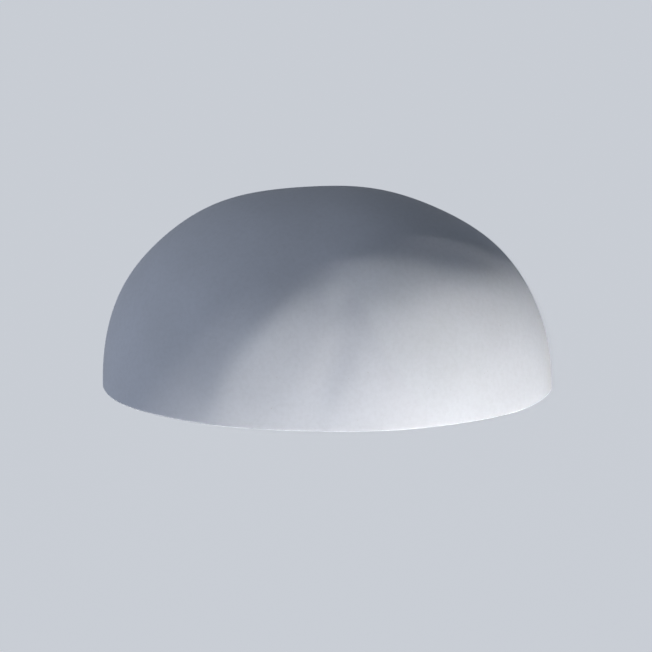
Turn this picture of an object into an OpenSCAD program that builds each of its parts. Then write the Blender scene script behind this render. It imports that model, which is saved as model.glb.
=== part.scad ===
// Half-bowl ceramic wall sconce. The closed dome is up and the open side is down, so that the lamp washes
// the wall below. All sizes are in millimetres. The wall is the plane y = 0 and the room lies towards -Y.
// The origin is on the wall, midway between the two wall screws, and +Z is up.

/* [Shade] */
// Overall width of the shade along the wall
shade_w = 350; // [300:5:420]
// Height of the shade from its rim to its top
shade_h = 158; // [156:1:190]
// How far the shade stands out from the wall
shade_d = 130; // [124:1:170]
// Thickness of the ceramic wall
shade_wall = 7; // [5:0.5:8]
// Fullness of the arch on the wall: 2 is an ellipse, more is squarer
arch_power = 2.2; // [2.1:0.05:2.6]
// Height of the soft waves that the hand finish leaves
hand_wave = 0.8; // [0:0.1:1.2]
// Thickness of the flange that lies on the wall
flange_t = 7; // [5:0.5:9]
// Width of each flange leg at the rim, measured from the outside
flange_leg = 27; // [22:1:34]
// Distance from the top of the shade down to the crown of the back opening
flange_crown = 20; // [16:1:24]

/* [Wall bracket] */
// Width of the bracket plate
plate_w = 150; // [136:2:156]
// Sheet thickness of the bracket
plate_t = 1.5; // [1.2:0.1:2]
// Corner radius of the bracket plate
plate_r = 4; // [2:0.5:6]
// Depth of the bracket's ledge below the top of the shade
ledge_below_top = 40; // [38:0.5:44]
// Length of each ledge that carries the shade
ledge_len = 34; // [26:1:40]
// Distance between the two wall screws
slot_spacing = 120; // [110:2:122]
// Width of a wall screw slot
slot_w = 5.5; // [4.5:0.5:6.5]
// End-to-end length of a wall screw slot
slot_len = 12; // [9:1:14]
// Distance from the ledge down to the wall screws
slot_drop = 20; // [18:1:23]
// Width of each upright ear
ear_w = 16; // [12:1:20]
// Height of each ear above the ledge
ear_h = 18; // [16:0.5:18.5]
// Distance between the centres of the two ears
ear_spacing = 116; // [106:2:122]
// Free room between the flange and the ears
ear_gap = 3; // [2.8:0.1:3.4]

/* [Clamp screws] */
// Height of the clamp screws above the ledge
clamp_up = 10; // [9:0.5:11]
// Thread diameter of the clamp screws
clamp_d = 4; // [3:0.5:5]
// Diameter of the knurled head
clamp_head_d = 14; // [11:0.5:15]
// Length of the knurled head
clamp_head_l = 8.5; // [6:0.5:10]
// Diameter of the swivel pad
pad_d = 7; // [6:0.5:9]
// Thickness of the swivel pad
pad_t = 1.2; // [1:0.1:1.2]
// How far a clamp screw backs off to free the shade
clamp_travel = 1.4; // [1:0.1:1.4]

/* [Cable entry] */
// Diameter of the raised dish round the cable entry
dish_d = 32; // [28:1:32]
// How far the dish is raised from the wall
dish_rise = 6.5; // [6:0.5:8]
// Diameter of the hole that the grommet sits in
grommet_seat_d = 16; // [14:0.5:18]
// Bore of the grommet
grommet_bore_d = 10; // [8:0.5:11]
// Room between the dish and the lamp arm above it
dish_gap = 1; // [0.5:0.5:3]
// Flat plate left below the dish
dish_margin = 2; // [1:0.5:6]

/* [Lamp arm] */
// Width of the arm
arm_w = 25; // [22:1:28]
// Thickness of the arm
arm_t = 2; // [1.5:0.1:2.5]
// Distance from the wall to the lamp's axis
lamp_reach = 52; // [50:0.5:54]
// Distance from the ledge down to the underside of the arm
arm_drop = 4; // [3:0.5:6]
// Length of the leg that is bolted to the plate
arm_leg = 27; // [25:0.5:30]
// Distance between the two studs that hold the arm
arm_stud_pitch = 12; // [10:0.5:14]

/* [Lampholder] */
// Outer diameter of the porcelain body
holder_d = 40; // [38:0.5:42]
// Height of the porcelain body
holder_h = 50; // [48:0.5:52]
// Distance between the two screws that hold the body
holder_screw_pitch = 24; // [22:0.5:26]
// Clearance between the lamp's thread and the holder's thread
thread_gap = 0.4; // [0.35:0.05:0.5]

/* [Lamp] */
// Diameter of the bulb
bulb_d = 45; // [40:0.5:46]
// Overall length of the lamp
lamp_len = 75; // [72:0.5:78]
// Depth of the lamp in the holder
lamp_depth = 26; // [25:0.5:27]
// Outside diameter of the lamp's thread
thread_d = 26.2; // [25.8:0.1:26.4]
// Depth of the lamp's thread
thread_depth = 0.8; // [0.6:0.05:0.9]
// Pitch of the lamp's thread
thread_pitch = 3.63; // [3.4:0.01:3.8]

/* [Terminal block] */
// Distance between the poles
pole_pitch = 10; // [9:0.5:11]
// Height of the block
block_h = 20; // [18:0.5:22]
// Depth of the block
block_depth = 15; // [14:0.5:16]
// Distance from the middle of the plate to the middle of the block
block_x = 52; // [50:0.5:53]
// Diameter of the insulated leads
lead_d = 2.2; // [1.8:0.1:2.4]

/* [Hidden] */
$fn = 64;

// Small clearances that many joints share.
running = 0.05;   // radial clearance of a screw or plunger in its hole
loose = 0.1;      // clearance of a piece in a moulded pocket
past = 1;         // how far a cutter reaches past the face that it opens

// Heights above the wall screws.
ledge_z = slot_drop;
ledge_above_rim = shade_h - ledge_below_top;
rim_z = ledge_z - ledge_above_rim;
arm_z = ledge_z - arm_drop;
dish_z = arm_z - arm_leg - dish_gap - dish_d / 2;
plate_bottom = dish_z - dish_d / 2 - dish_margin;
plate_h = ledge_z - plate_bottom;
ear_front = flange_t + ear_gap + plate_t;
clamp_z = ledge_z + clamp_up;
clamp_x = ear_spacing / 2;

// Shade: half sizes of the outside, of the hollow and of the opening in the back.
half_w = shade_w / 2;
cut_w = half_w - flange_leg;
cut_h = shade_h - flange_crown;
stations = 48;    // steps along the shade from corner to corner
steps = 12;       // steps from the rim up to the wall
wave_count = 9;   // waves round a full turn
wave_start = 79;  // degrees from the right corner to a crest

// Fasteners.
stud_d = 4;
thread_end_l = 1; // thread that stands out past a nut
nut_af = 7;
nut_t = 3.2;
washer_od = 9;
washer_t = 0.8;
small_screw_d = 3;
arm_stud_z = arm_z - arm_leg / 2 - 1;
block_stud_d = 2.5;
block_nut_af = 5;
block_nut_t = 2;

// Lampholder, in its own frame: z = 0 is the underside of the arm and the lamp points down.
tip_z = lamp_depth - holder_h;  // where the lamp's contact meets the plunger
collar_h = 18;                  // height of the thicker upper part of the body
collar_step = 1;
shell_wall = 0.8;               // brass outside the thread's root
shell_top_t = 0.5;
bore_r = thread_d / 2 + thread_gap + shell_wall + loose;
bore_top = tip_z + 1;
mouth_depth = 4;                // from the body's mouth up to the screw shell
holder_screw_d = 4;
holder_screw_len = 10;
guide_r = 3.2;
guide_top = -6.5;
guide_bottom = -15;
guide_tab = [3.8, 0.8];
spring_room_r = 4.4;
stem_r = 1.65;
plunger_head_r = 3.6;
plunger_head_t = 1.2;
plunger_travel = thread_pitch;
rivet_t = 0.8;
spring_wire_d = 0.5;
spring_r = 2.9;
spring_turns = 5;
terminal_x = 11.5;
terminal_size = [7, 8, 8];
terminal_z = -5.2;
lead_z = -5.7;                  // height of the leads where they enter the terminals
lead_room = 0.4;                // room round a lead in its hole
strap = [2.8, 0.8];

// Threads of the lamp and the shell: rings of points whose radius waves.
ring_points = 24;
thread_top = tip_z - 7;
thread_end = tip_z - 22;
thread_fade = 1.2;
thread_mean_r = thread_d / 2 - thread_depth / 2;
ring_step = thread_pitch / 7;

// Lamp, in the lampholder's frame.
cap_len = 26.5;
cap_wall = 0.8;
cap_shoulder = 4.6;             // from the lamp's tip to the top of its screw cap
cap_shoulder_r = 11;
neck_r = (thread_d / 2 - thread_depth - cap_wall) * cos(180 / ring_points) - loose;
bulb_z = tip_z - lamp_len + bulb_d / 2;
glass_t = 0.8;
neck_fillet = 14;
stem_len = 20;
seal_z = tip_z - cap_len + 5.5; // the glass seal in the neck

// Terminal block, on the plate's left half.
poles = [-1, 0, 1];
block_w = len(poles) * pole_pitch + 2;
block_bottom = plate_bottom + 6;
block_top = block_bottom + block_h;
block_front = plate_t + block_depth;
tube_axis = plate_t + 8.5;
tube_r = 2.6;
tube_bore_r = 1.8;
tube_inset = 1.5;
tower_r = 3.4;
tower_h = 3;
screw_rows = [4.5, block_h - 4.5];

// Earth connection, between the terminal block and the cable dish.
earth_stud_x = -24;
earth_stud_z = plate_bottom + 10;
earth_stud_l = 7;
eye_t = 0.8;
barrel_axis = plate_t + washer_t + 2;
barrel_z = earth_stud_z + 5;
barrel_len = 7;

ceramic = [0.93, 0.92, 0.90];
zinc = [0.74, 0.76, 0.78];
porcelain = [0.95, 0.95, 0.93];
brass = [0.80, 0.65, 0.33];
nickel = [0.78, 0.77, 0.73];
opal = [0.98, 0.95, 0.88];
nylon = [0.93, 0.93, 0.91];
rubber = [0.12, 0.12, 0.13];

// ---------- placing ----------

// Children stand on the wall: their x and y become the wall's x and z, and their z points into the room.
module on_wall(x, z) {
    translate([x, 0, z]) rotate([90, 0, 0]) children();
}

// Children are drawn in the lampholder's frame.
module on_lamp_axis() {
    translate([0, -lamp_reach, arm_z]) children();
}

// ---------- common shapes ----------

module tube(r_out, r_in, h) {
    difference() {
        cylinder(r = r_out, h = h);
        translate([0, 0, -past]) cylinder(r = r_in, h = h + 2 * past);
    }
}

module hex_nut(af, t, bore_d) {
    difference() {
        cylinder(d = af / cos(30), h = t, $fn = 6);
        translate([0, 0, -past]) cylinder(d = bore_d, h = t + 2 * past);
    }
}

module rounded_rect(w, h, r) {
    square([w - 2 * r, h], center = true);
    square([w, h - 2 * r], center = true);
    for (x = [-1, 1], y = [-1, 1])
        translate([x * (w / 2 - r), y * (h / 2 - r)]) circle(r = r);
}

module slot_outline(len, w) {
    square([len - w, w], center = true);
    for (x = [-1, 1]) translate([x * (len - w) / 2, 0]) circle(d = w);
}

// Screw with a slotted round head. The head stands on z = 0 and the shank hangs below it.
module slotted_screw(d, len, head_d, head_h, slot) {
    difference() {
        union() {
            translate([0, 0, -len]) cylinder(d = d, h = len + head_h / 2);
            cylinder(d1 = head_d, d2 = head_d * 0.8, h = head_h);
        }
        translate([0, 0, head_h]) cube([head_d + past, slot, head_h], center = true);
    }
}

// Faces of a grid of points, rows by columns, where every row closes on itself.
function tube_faces(rows, n) = concat(
    [for (i = [0:rows - 2], j = [0:n - 1]) [i * n + j, i * n + (j + 1) % n, (i + 1) * n + (j + 1) % n]],
    [for (i = [0:rows - 2], j = [0:n - 1]) [i * n + j, (i + 1) * n + (j + 1) % n, (i + 1) * n + j]]);

function unit(v) = v / norm(v);

// Direction of a route at point i.
function heading(p, i) = unit(p[min(i + 1, len(p) - 1)] - p[max(i - 1, 0)]);

// Side vectors that travel along a route without twisting.
function sides_along(p, i, side) = let (t = heading(p, i), s = unit(side - (side * t) * t))
    i == len(p) - 1 ? [s] : concat([s], sides_along(p, i + 1, s));

// A round tube swept along the route p. The first side vector must not point along the route.
module swept_tube(p, r, side, n = 8) {
    s = sides_along(p, 0, side);
    rings = [for (i = [0:len(p) - 1], j = [0:n - 1])
        p[i] + r * (cos(360 * j / n) * s[i] + sin(360 * j / n) * cross(s[i], heading(p, i)))];
    last = (len(p) - 1) * n;
    polyhedron(
        points = rings,
        faces = concat(tube_faces(len(p), n), [[for (j = [n - 1:-1:0]) j]], [[for (j = [0:n - 1]) last + j]]));
}

// A point on the cubic curve that leaves a towards b and comes into d from c.
function curve_point(a, b, c, d, t) =
    pow(1 - t, 3) * a + 3 * pow(1 - t, 2) * t * b + 3 * (1 - t) * t * t * c + pow(t, 3) * d;

// The route of a lead: straight out of its seat, one curve, and straight into its other seat.
function lead_route(from, out, lean_out, lean_in, in, to, count = 26) =
    concat([from], [for (i = [0:count]) curve_point(out, lean_out, lean_in, in, i / count)], [to]);

// Rings of a tube whose radius waves as an Edison thread does. Each ring is [z, radius, wave].
function thread_points(rings, pitch, n) = [for (g = rings, j = [0:n - 1])
    let (a = 360 * j / n, r = g[1] + g[2] * cos(360 * g[0] / pitch - a)) [r * cos(a), r * sin(a), g[0]]];

// A closed tube between an outer and an inner list of rings of the same length, both from the top down.
module ring_tube(outer, inner, pitch, n = ring_points) {
    rows = len(outer);
    walls = tube_faces(rows, n);
    top = [for (j = [0:n - 1]) [j, rows * n + j, rows * n + (j + 1) % n, (j + 1) % n]];
    end = (rows - 1) * n;
    bottom = [for (j = [0:n - 1])
        [end + j, end + (j + 1) % n, rows * n + end + (j + 1) % n, rows * n + end + j]];
    polyhedron(
        points = concat(thread_points(outer, pitch, n), thread_points(inner, pitch, n)),
        faces = concat(
            walls,
            [for (f = walls) [for (k = [2:-1:0]) f[k] + rows * n]],
            [for (f = top) [for (k = [3:-1:0]) f[3 - k]]],
            bottom));
}

// ---------- shade ----------

// Height of an arch of half width w and height h, at x.
function arch(x, w, h) = h * pow(max(0, 1 - pow(min(1, abs(x) / w), arch_power)), 1 / arch_power);

// Half depth of an elliptical rim of half width w and depth d, at x.
function rim_depth(x, w, d) = d * sqrt(max(0, 1 - pow(x / w, 2)));

// Size factor of the hand finish: u runs from the right corner to the left, v from the rim up to the wall.
function hand_finish(u, v) = 1 + hand_wave / shade_d * sin(u)
    * (0.7 * cos(wave_count * (u - wave_start) + 60 * cos(v)) + 0.6 * cos(u) * cos(2 * v));

// Outside of the shade. The rim lies at z = 0 here.
function outside(u, v) = let (x = half_w * cos(u))
    hand_finish(u, v) * [x, -rim_depth(x, half_w, shade_d) * cos(v), arch(x, half_w, shade_h) * sin(v)];

// Hollow of the shade, from the rim up to the front of the flange.
function hollow(u, v) = let (
        w = half_w - shade_wall,
        d = shade_d - shade_wall,
        reach = w * sqrt(1 - pow(flange_t / d, 2)),
        x = reach * cos(u),
        depth = rim_depth(x, w, d),
        a = u == 0 || u == 180 ? 0 : v / 90 * acos(flange_t / depth))
    [x, -depth * cos(a), arch(x, w, shade_h - shade_wall) * sin(a)];

// Edge of the opening in the back. Its top is the straight edge that hangs on the ledges.
function back_edge(u, y) = let (x = cut_w * cos(u)) [x, -y, min(ledge_above_rim, arch(x, cut_w, cut_h))];

// Triangles between two rows of points that run side by side, given the first index of each row.
function strip(a, b, count) = [for (i = [0:count - 1], k = [0, 1])
    k == 0 ? [a + i, b + i, b + i + 1] : [a + i, b + i + 1, a + i + 1]];

module shade() {
    row = stations + 1;
    us = [for (i = [0:stations]) 180 - 180 * i / stations];
    vs = [for (j = [0:steps]) 90 * j / steps];
    points = concat(
        [for (v = vs, u = us) outside(u, v)],
        [for (v = vs, u = us) hollow(u, v)],
        [for (u = us) back_edge(u, 0)],
        [for (u = us) back_edge(u, flange_t)]);
    inner = row * (steps + 1);
    edge = 2 * inner;
    front = edge + row;
    skins = [for (j = [0:steps - 1]) each strip(j * row, (j + 1) * row, stations)];
    hollows = [for (j = [0:steps - 1]) each strip(inner + (j + 1) * row, inner + j * row, stations)];
    faces = concat(
        skins,
        hollows,
        strip(steps * row, edge, stations),
        strip(edge, front, stations),
        strip(front, inner + steps * row, stations),
        strip(inner, 0, stations),
        [[0, inner, front], [0, front, edge]],
        [[row - 1, front + row - 1, inner + row - 1], [row - 1, edge + row - 1, front + row - 1]]);
    color(ceramic) translate([0, 0, rim_z]) polyhedron(points = points, faces = faces);
}

// ---------- wall bracket ----------

module wall_bracket() {
    ledge_x = plate_w / 2 - ledge_len / 2;
    color(zinc) {
        difference() {
            on_wall(0, plate_bottom + plate_h / 2) linear_extrude(plate_t) rounded_rect(plate_w, plate_h, plate_r);
            for (side = [-1, 1])
                on_wall(side * slot_spacing / 2, 0) translate([0, 0, -past])
                    linear_extrude(plate_t + 2 * past) slot_outline(slot_len, slot_w);
            on_wall(0, dish_z) translate([0, 0, -past]) cylinder(r = dish_d / 2 - plate_t, h = plate_t + 2 * past);
        }
        for (side = [-1, 1]) {
            translate([side * ledge_x - ledge_len / 2, -ear_front, ledge_z - plate_t])
                cube([ledge_len, ear_front, plate_t]);
            difference() {
                translate([side * clamp_x - ear_w / 2, -ear_front, ledge_z - plate_t])
                    cube([ear_w, plate_t, ear_h + plate_t]);
                on_wall(side * clamp_x, clamp_z) cylinder(d = clamp_d + 2 * running, h = ear_front + past);
            }
        }
        on_wall(0, dish_z) difference() {
            cylinder(d = dish_d, h = dish_rise);
            translate([0, 0, -past]) cylinder(r = dish_d / 2 - plate_t, h = dish_rise - plate_t + past);
            cylinder(d = grommet_seat_d, h = dish_rise + past);
        }
    }
}

module weld_studs() {
    color(zinc) {
        for (k = [-1, 1])
            on_wall(0, arm_stud_z + k * arm_stud_pitch / 2) translate([0, 0, plate_t])
                cylinder(d = stud_d, h = arm_t + washer_t + nut_t + thread_end_l);
        on_wall(earth_stud_x, earth_stud_z) translate([0, 0, plate_t]) cylinder(d = stud_d, h = earth_stud_l);
        on_wall(-block_x - pole_pitch / 2, block_bottom + block_h / 2) translate([0, 0, plate_t])
            cylinder(d = block_stud_d, h = block_depth + block_nut_t + thread_end_l);
    }
}

module ear_nuts() {
    color(zinc) for (side = [-1, 1])
        on_wall(side * clamp_x, clamp_z) translate([0, 0, ear_front]) difference() {
            translate([-nut_af / 2, -nut_af / 2, 0]) cube([nut_af, nut_af, nut_t]);
            translate([0, 0, -past]) cylinder(d = clamp_d + 2 * running, h = nut_t + 2 * past);
        }
}

module cable_grommet() {
    lip_r = grommet_seat_d / 2 + 2.5;
    lip_t = 1.5;
    color(rubber) on_wall(0, dish_z) translate([0, 0, dish_rise - plate_t - lip_t]) difference() {
        union() {
            cylinder(r = lip_r, h = lip_t);
            cylinder(d = grommet_seat_d, h = 2 * lip_t + plate_t);
            translate([0, 0, lip_t + plate_t]) cylinder(r1 = lip_r, r2 = lip_r - 1, h = lip_t);
        }
        translate([0, 0, -past]) cylinder(d = grommet_bore_d, h = 2 * lip_t + plate_t + 2 * past);
    }
}

// ---------- clamp screws ----------

// One knurled clamp screw, pointing at the wall, with its thread through the ear.
module clamp_screw(side) {
    pin_r = 1.2;
    pin_start = flange_t + running + 0.5;
    shank_start = flange_t + running + pad_t;
    head_start = ear_front + nut_t + clamp_travel + 1.4;
    ribs = 24;
    color(brass) on_wall(side * clamp_x, clamp_z) {
        translate([0, 0, pin_start]) cylinder(r = pin_r, h = shank_start - pin_start + past);
        translate([0, 0, shank_start]) cylinder(d = clamp_d, h = head_start - shank_start + past);
        translate([0, 0, head_start]) {
            linear_extrude(clamp_head_l) polygon([for (i = [0:2 * ribs - 1])
                let (a = 180 * i / ribs, r = clamp_head_d / 2 - (i % 2) * 0.5) [r * cos(a), r * sin(a)]]);
            translate([0, 0, clamp_head_l]) cylinder(d1 = clamp_head_d - 2, d2 = clamp_head_d - 4, h = 0.8);
        }
    }
}

// The swivel pad at the tip of a clamp screw. It presses on the flange without turning.
module clamp_pad(side) {
    socket_r = 1.3;
    color(nylon) on_wall(side * clamp_x, clamp_z) translate([0, 0, flange_t + running]) difference() {
        cylinder(d = pad_d, h = pad_t);
        translate([0, 0, 0.4]) cylinder(r = socket_r, h = pad_t);
    }
}

// ---------- lamp arm ----------

module lamp_arm() {
    reach = lamp_reach + holder_screw_pitch / 2 + 6;
    color(zinc) difference() {
        union() {
            translate([-arm_w / 2, -plate_t - arm_t, arm_z - arm_leg]) cube([arm_w, arm_t, arm_leg + arm_t]);
            translate([-arm_w / 2, -reach, arm_z]) cube([arm_w, reach - plate_t, arm_t]);
        }
        for (k = [-1, 1]) {
            on_wall(0, arm_stud_z + k * arm_stud_pitch / 2)
                cylinder(d = stud_d + 0.4, h = plate_t + arm_t + past);
            on_lamp_axis() translate([0, k * holder_screw_pitch / 2, -past])
                cylinder(d = 4.4, h = arm_t + 2 * past);
        }
    }
}

module arm_washers() {
    color(zinc) for (k = [-1, 1])
        on_wall(0, arm_stud_z + k * arm_stud_pitch / 2) translate([0, 0, plate_t + arm_t])
            tube(washer_od / 2, stud_d / 2 + 0.15, washer_t);
}

module arm_nuts() {
    color(zinc) for (k = [-1, 1])
        on_wall(0, arm_stud_z + k * arm_stud_pitch / 2) translate([0, 0, plate_t + arm_t + washer_t])
            hex_nut(nut_af, nut_t, stud_d + 2 * running);
}

// ---------- lampholder ----------

module lampholder_body() {
    r = holder_d / 2;
    skirt_r = r - collar_step;
    bevel = 1.5;
    pocket_floor = terminal_z - terminal_size[2] / 2 - loose;
    slot_floor = lead_z - lead_d / 2 - 1.5;
    slot_half = lead_d / 2 + lead_room;
    color(porcelain) on_lamp_axis() difference() {
        rotate_extrude() polygon([
            [0, 0], [r - bevel, 0], [r, -bevel], [r, -collar_h], [skirt_r, -collar_h - 2 * collar_step],
            [skirt_r, bevel - holder_h], [skirt_r - bevel, -holder_h],
            [bore_r, -holder_h], [bore_r, bore_top], [0, bore_top]]);
        translate([0, 0, bore_top - past]) cylinder(r = spring_room_r, h = guide_bottom - bore_top + past);
        translate([0, 0, guide_bottom - past]) cylinder(r = guide_r + running, h = 2 * past - guide_bottom);
        translate([0, 0, guide_top]) cylinder(r = guide_r + 0.6, h = past - guide_top);
        for (side = [-1, 1]) {
            translate([side * terminal_x, 0, pocket_floor]) linear_extrude(past - pocket_floor)
                square([terminal_size[0] + 2 * loose, terminal_size[1] + 2 * loose], center = true);
            translate([side * terminal_x - slot_half, 0, slot_floor])
                cube([2 * slot_half, r + past, past - slot_floor]);
            translate([0, side * holder_screw_pitch / 2, -holder_screw_len - past])
                cylinder(d = holder_screw_d + 2 * running, h = holder_screw_len + 2 * past);
        }
        translate([-terminal_x, -guide_tab[0] / 2 - loose, guide_top - guide_tab[1]])
            cube([terminal_x, guide_tab[0] + 2 * loose, past - guide_top + guide_tab[1]]);
        translate([terminal_x - strap[0] / 2 - 2 * loose, -strap[1] / 2 - 2 * loose, bore_top - past])
            cube([strap[0] + 4 * loose, strap[1] + 4 * loose, -bore_top]);
    }
}

module holder_screws() {
    head_d = 7.5;
    head_h = 2.4;
    color(zinc) on_lamp_axis() for (k = [-1, 1])
        translate([0, k * holder_screw_pitch / 2, arm_t])
            slotted_screw(holder_screw_d, holder_screw_len + arm_t, head_d, head_h, 1);
}

// Half the depth of the thread at height z. It fades out towards both ends of the threaded stretch.
function thread_wave(z) =
    thread_depth / 2 * max(0, min(1, (thread_top - z) / thread_fade, (z - thread_end) / thread_fade));

// What the thread's half depth lacks at height z. The lamp fades to its root and the shell to its full width.
function thread_lack(z) = thread_depth / 2 - thread_wave(z);

module screw_shell() {
    top = bore_top - shell_top_t;
    zs = [for (z = [top:-ring_step:mouth_depth - holder_h]) z];
    strap_top = terminal_z - terminal_size[2] / 2;
    color(brass) on_lamp_axis() {
        ring_tube(
            [for (z = zs) [z, bore_r - loose, 0]],
            [for (z = zs) [z, thread_mean_r + thread_gap + thread_lack(z), thread_wave(z)]],
            thread_pitch);
        translate([0, 0, top]) tube(bore_r - loose, spring_room_r + 3.6, shell_top_t);
        translate([terminal_x - strap[0] / 2, -strap[1] / 2, top]) cube([strap[0], strap[1], strap_top - top]);
    }
}

// A brass terminal with a blind hole along Y for the lead and a screw hole from above.
module holder_terminal(side) {
    end_wall = 1.5;
    color(brass) on_lamp_axis() translate([side * terminal_x, 0, 0]) difference() {
        translate([0, 0, terminal_z]) cube(terminal_size, center = true);
        translate([0, end_wall - terminal_size[1] / 2, lead_z]) rotate([-90, 0, 0])
            cylinder(r = lead_d / 2 + lead_room / 2, h = terminal_size[1]);
        translate([0, 0, lead_z]) cylinder(d = small_screw_d + 2 * running, h = terminal_size[2]);
    }
}

module holder_terminal_screws() {
    screw_len = 3;
    slot = [0.6, 0.7];
    color(zinc) on_lamp_axis() for (side = [-1, 1])
        translate([side * terminal_x, 0, lead_z + lead_d / 2 + running]) difference() {
            cylinder(d = small_screw_d, h = screw_len);
            translate([-small_screw_d, -slot[0] / 2, screw_len - slot[1]])
                cube([2 * small_screw_d, slot[0], slot[1] + past]);
        }
}

// Brass bush that guides the plunger, with a tab that lies against the live terminal.
module contact_guide() {
    terminal_face = terminal_size[0] / 2 - terminal_x;
    color(brass) on_lamp_axis() difference() {
        union() {
            translate([0, 0, guide_bottom]) cylinder(r = guide_r, h = guide_top - guide_bottom);
            translate([terminal_face, -guide_tab[0] / 2, guide_top - guide_tab[1]])
                cube([-terminal_face, guide_tab[0], guide_tab[1]]);
        }
        translate([0, 0, guide_bottom - past])
            cylinder(r = stem_r + running, h = guide_top - guide_bottom + 2 * past);
    }
}

// Spring-loaded centre contact. The rivet head on its top stops it when the lamp is out.
module contact_plunger() {
    rivet_z = guide_top + plunger_travel + loose;
    color(nickel) on_lamp_axis() {
        translate([0, 0, tip_z]) cylinder(r = plunger_head_r, h = plunger_head_t);
        translate([0, 0, tip_z]) cylinder(r = stem_r, h = rivet_z - tip_z + rivet_t);
        translate([0, 0, rivet_z]) cylinder(r = stem_r + 0.7, h = rivet_t);
    }
}

module contact_spring() {
    low = tip_z + plunger_head_t + spring_wire_d / 2 + running;
    high = guide_bottom - spring_wire_d / 2 - running;
    turn_steps = 8;
    count = spring_turns * turn_steps;
    route = [for (i = [0:count]) let (a = 360 * i / turn_steps)
        [spring_r * cos(a), spring_r * sin(a), low + (high - low) * i / count]];
    least_gap = min([for (i = [0:turn_steps]) norm(route[i + turn_steps] - route[i])]) - spring_wire_d;
    echo(contact_spring_least_gap_mm = least_gap);
    color(nickel) on_lamp_axis() swept_tube(route, spring_wire_d / 2, [0, 0, 1], 6);
}

// ---------- lamp ----------

// Outline of the bulb, from its neck to its crown, for a globe of radius r and a neck of radius n.
module bulb_outline(r, n, neck_top) {
    f = neck_fillet;
    drop = sqrt(pow(r + f, 2) - pow(n + f, 2));
    tangent = r / (r + f) * [n + f, drop];
    intersection() {
        translate([0, bulb_z]) circle(r = r);
        translate([0, bulb_z - r - past]) square([r + past, 2 * r + 2 * past]);
    }
    difference() {
        translate([0, bulb_z]) polygon([[0, 0], tangent, [n + f, drop], [0, drop]]);
        translate([n + f, bulb_z + drop]) circle(r = f);
    }
    translate([0, bulb_z + drop - past]) square([n, neck_top - bulb_z - drop + past]);
}

module lamp_bulb() {
    neck_top = tip_z - cap_len + 6;
    color(opal) on_lamp_axis() rotate_extrude() difference() {
        bulb_outline(bulb_d / 2, neck_r, neck_top);
        bulb_outline(bulb_d / 2 - glass_t, neck_r - glass_t, neck_top + past);
    }
}

// Rings of the screw cap, for a mean radius r below the shoulder and r_top at it.
function cap_rings(r, r_top, skirt_end) = concat(
    [[tip_z - cap_shoulder, r_top, 0]],
    [for (z = [thread_top + 0.6:-ring_step:skirt_end + 0.4]) [z, r - thread_lack(z), thread_wave(z)]],
    [[skirt_end, r - thread_lack(skirt_end), 0]]);

module lamp_cap() {
    skirt_end = tip_z - cap_len;
    color(nickel) on_lamp_axis() ring_tube(
        cap_rings(thread_mean_r, cap_shoulder_r, skirt_end),
        cap_rings(thread_mean_r - cap_wall, cap_shoulder_r - cap_wall, skirt_end),
        thread_pitch);
}

// Black glass between the cap and the bottom contact. Its foot sits in the cap's shoulder.
module lamp_insulator() {
    rim_r = cap_shoulder_r - 0.4;
    foot_r = cap_shoulder_r - cap_wall - 0.2;
    color([0.08, 0.08, 0.09]) on_lamp_axis() rotate_extrude() polygon([
        [0, tip_z - 2], [4.8, tip_z - 2], [rim_r, tip_z - cap_shoulder], [foot_r, tip_z - cap_shoulder],
        [foot_r, tip_z - 6.2], [0, tip_z - 6.2]]);
}

module lamp_contact() {
    color(nickel) on_lamp_axis() rotate_extrude()
        polygon([[0, tip_z], [2.8, tip_z], [4.2, tip_z - 0.8], [4.5, tip_z - 2], [0, tip_z - 2]]);
}

// Glass mount that seals the neck and carries the filament.
module lamp_stem() {
    seal_t = 1.2;
    color([0.9, 0.93, 0.94]) on_lamp_axis() {
        translate([0, 0, seal_z - seal_t]) cylinder(r = neck_r - glass_t - running, h = seal_t);
        translate([0, 0, seal_z - stem_len]) cylinder(r = 3, h = stem_len);
        translate([0, 0, seal_z - stem_len - 6]) cylinder(r = 1.2, h = 7);
    }
}

// The coiled filament as one thick open ring, on two support wires that rise to the stem.
module lamp_filament() {
    loop_r = 8;
    wire_r = 0.35;
    coil_r = 0.5;
    rise = 10;
    lean = atan((loop_r - 1.5) / rise);
    color([0.75, 0.72, 0.65]) on_lamp_axis() translate([0, 0, seal_z - stem_len - rise]) {
        rotate([0, 0, 20]) rotate_extrude(angle = 320) translate([loop_r, 0]) circle(r = coil_r);
        for (a = [30, 330])
            rotate([0, 0, a]) translate([loop_r, 0, 0]) rotate([0, -lean, 0])
                cylinder(r = wire_r, h = rise / cos(lean) - wire_r);
    }
}

// ---------- terminal block ----------

// The place of a pole's axis along the wall.
function pole_x(p) = p * pole_pitch - block_x;

module terminal_block() {
    screw_hole_r = 2.2;
    tower_root = 1;
    color(nylon) difference() {
        union() {
            translate([-block_x - block_w / 2, -block_front, block_bottom]) cube([block_w, block_depth, block_h]);
            for (p = poles, z = screw_rows)
                on_wall(pole_x(p), block_bottom + z) translate([0, 0, block_front - tower_root])
                    cylinder(r = tower_r, h = tower_root + tower_h);
        }
        for (p = poles) {
            translate([pole_x(p), -tube_axis, block_bottom - past])
                cylinder(r = tube_r + running, h = block_h + 2 * past);
            for (z = screw_rows)
                on_wall(pole_x(p), block_bottom + z) translate([0, 0, tube_axis])
                    cylinder(r = screw_hole_r, h = block_depth + tower_h);
        }
        on_wall(-block_x - pole_pitch / 2, block_bottom + block_h / 2)
            cylinder(d = block_stud_d + 2 * loose, h = block_front + past);
    }
}

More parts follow.
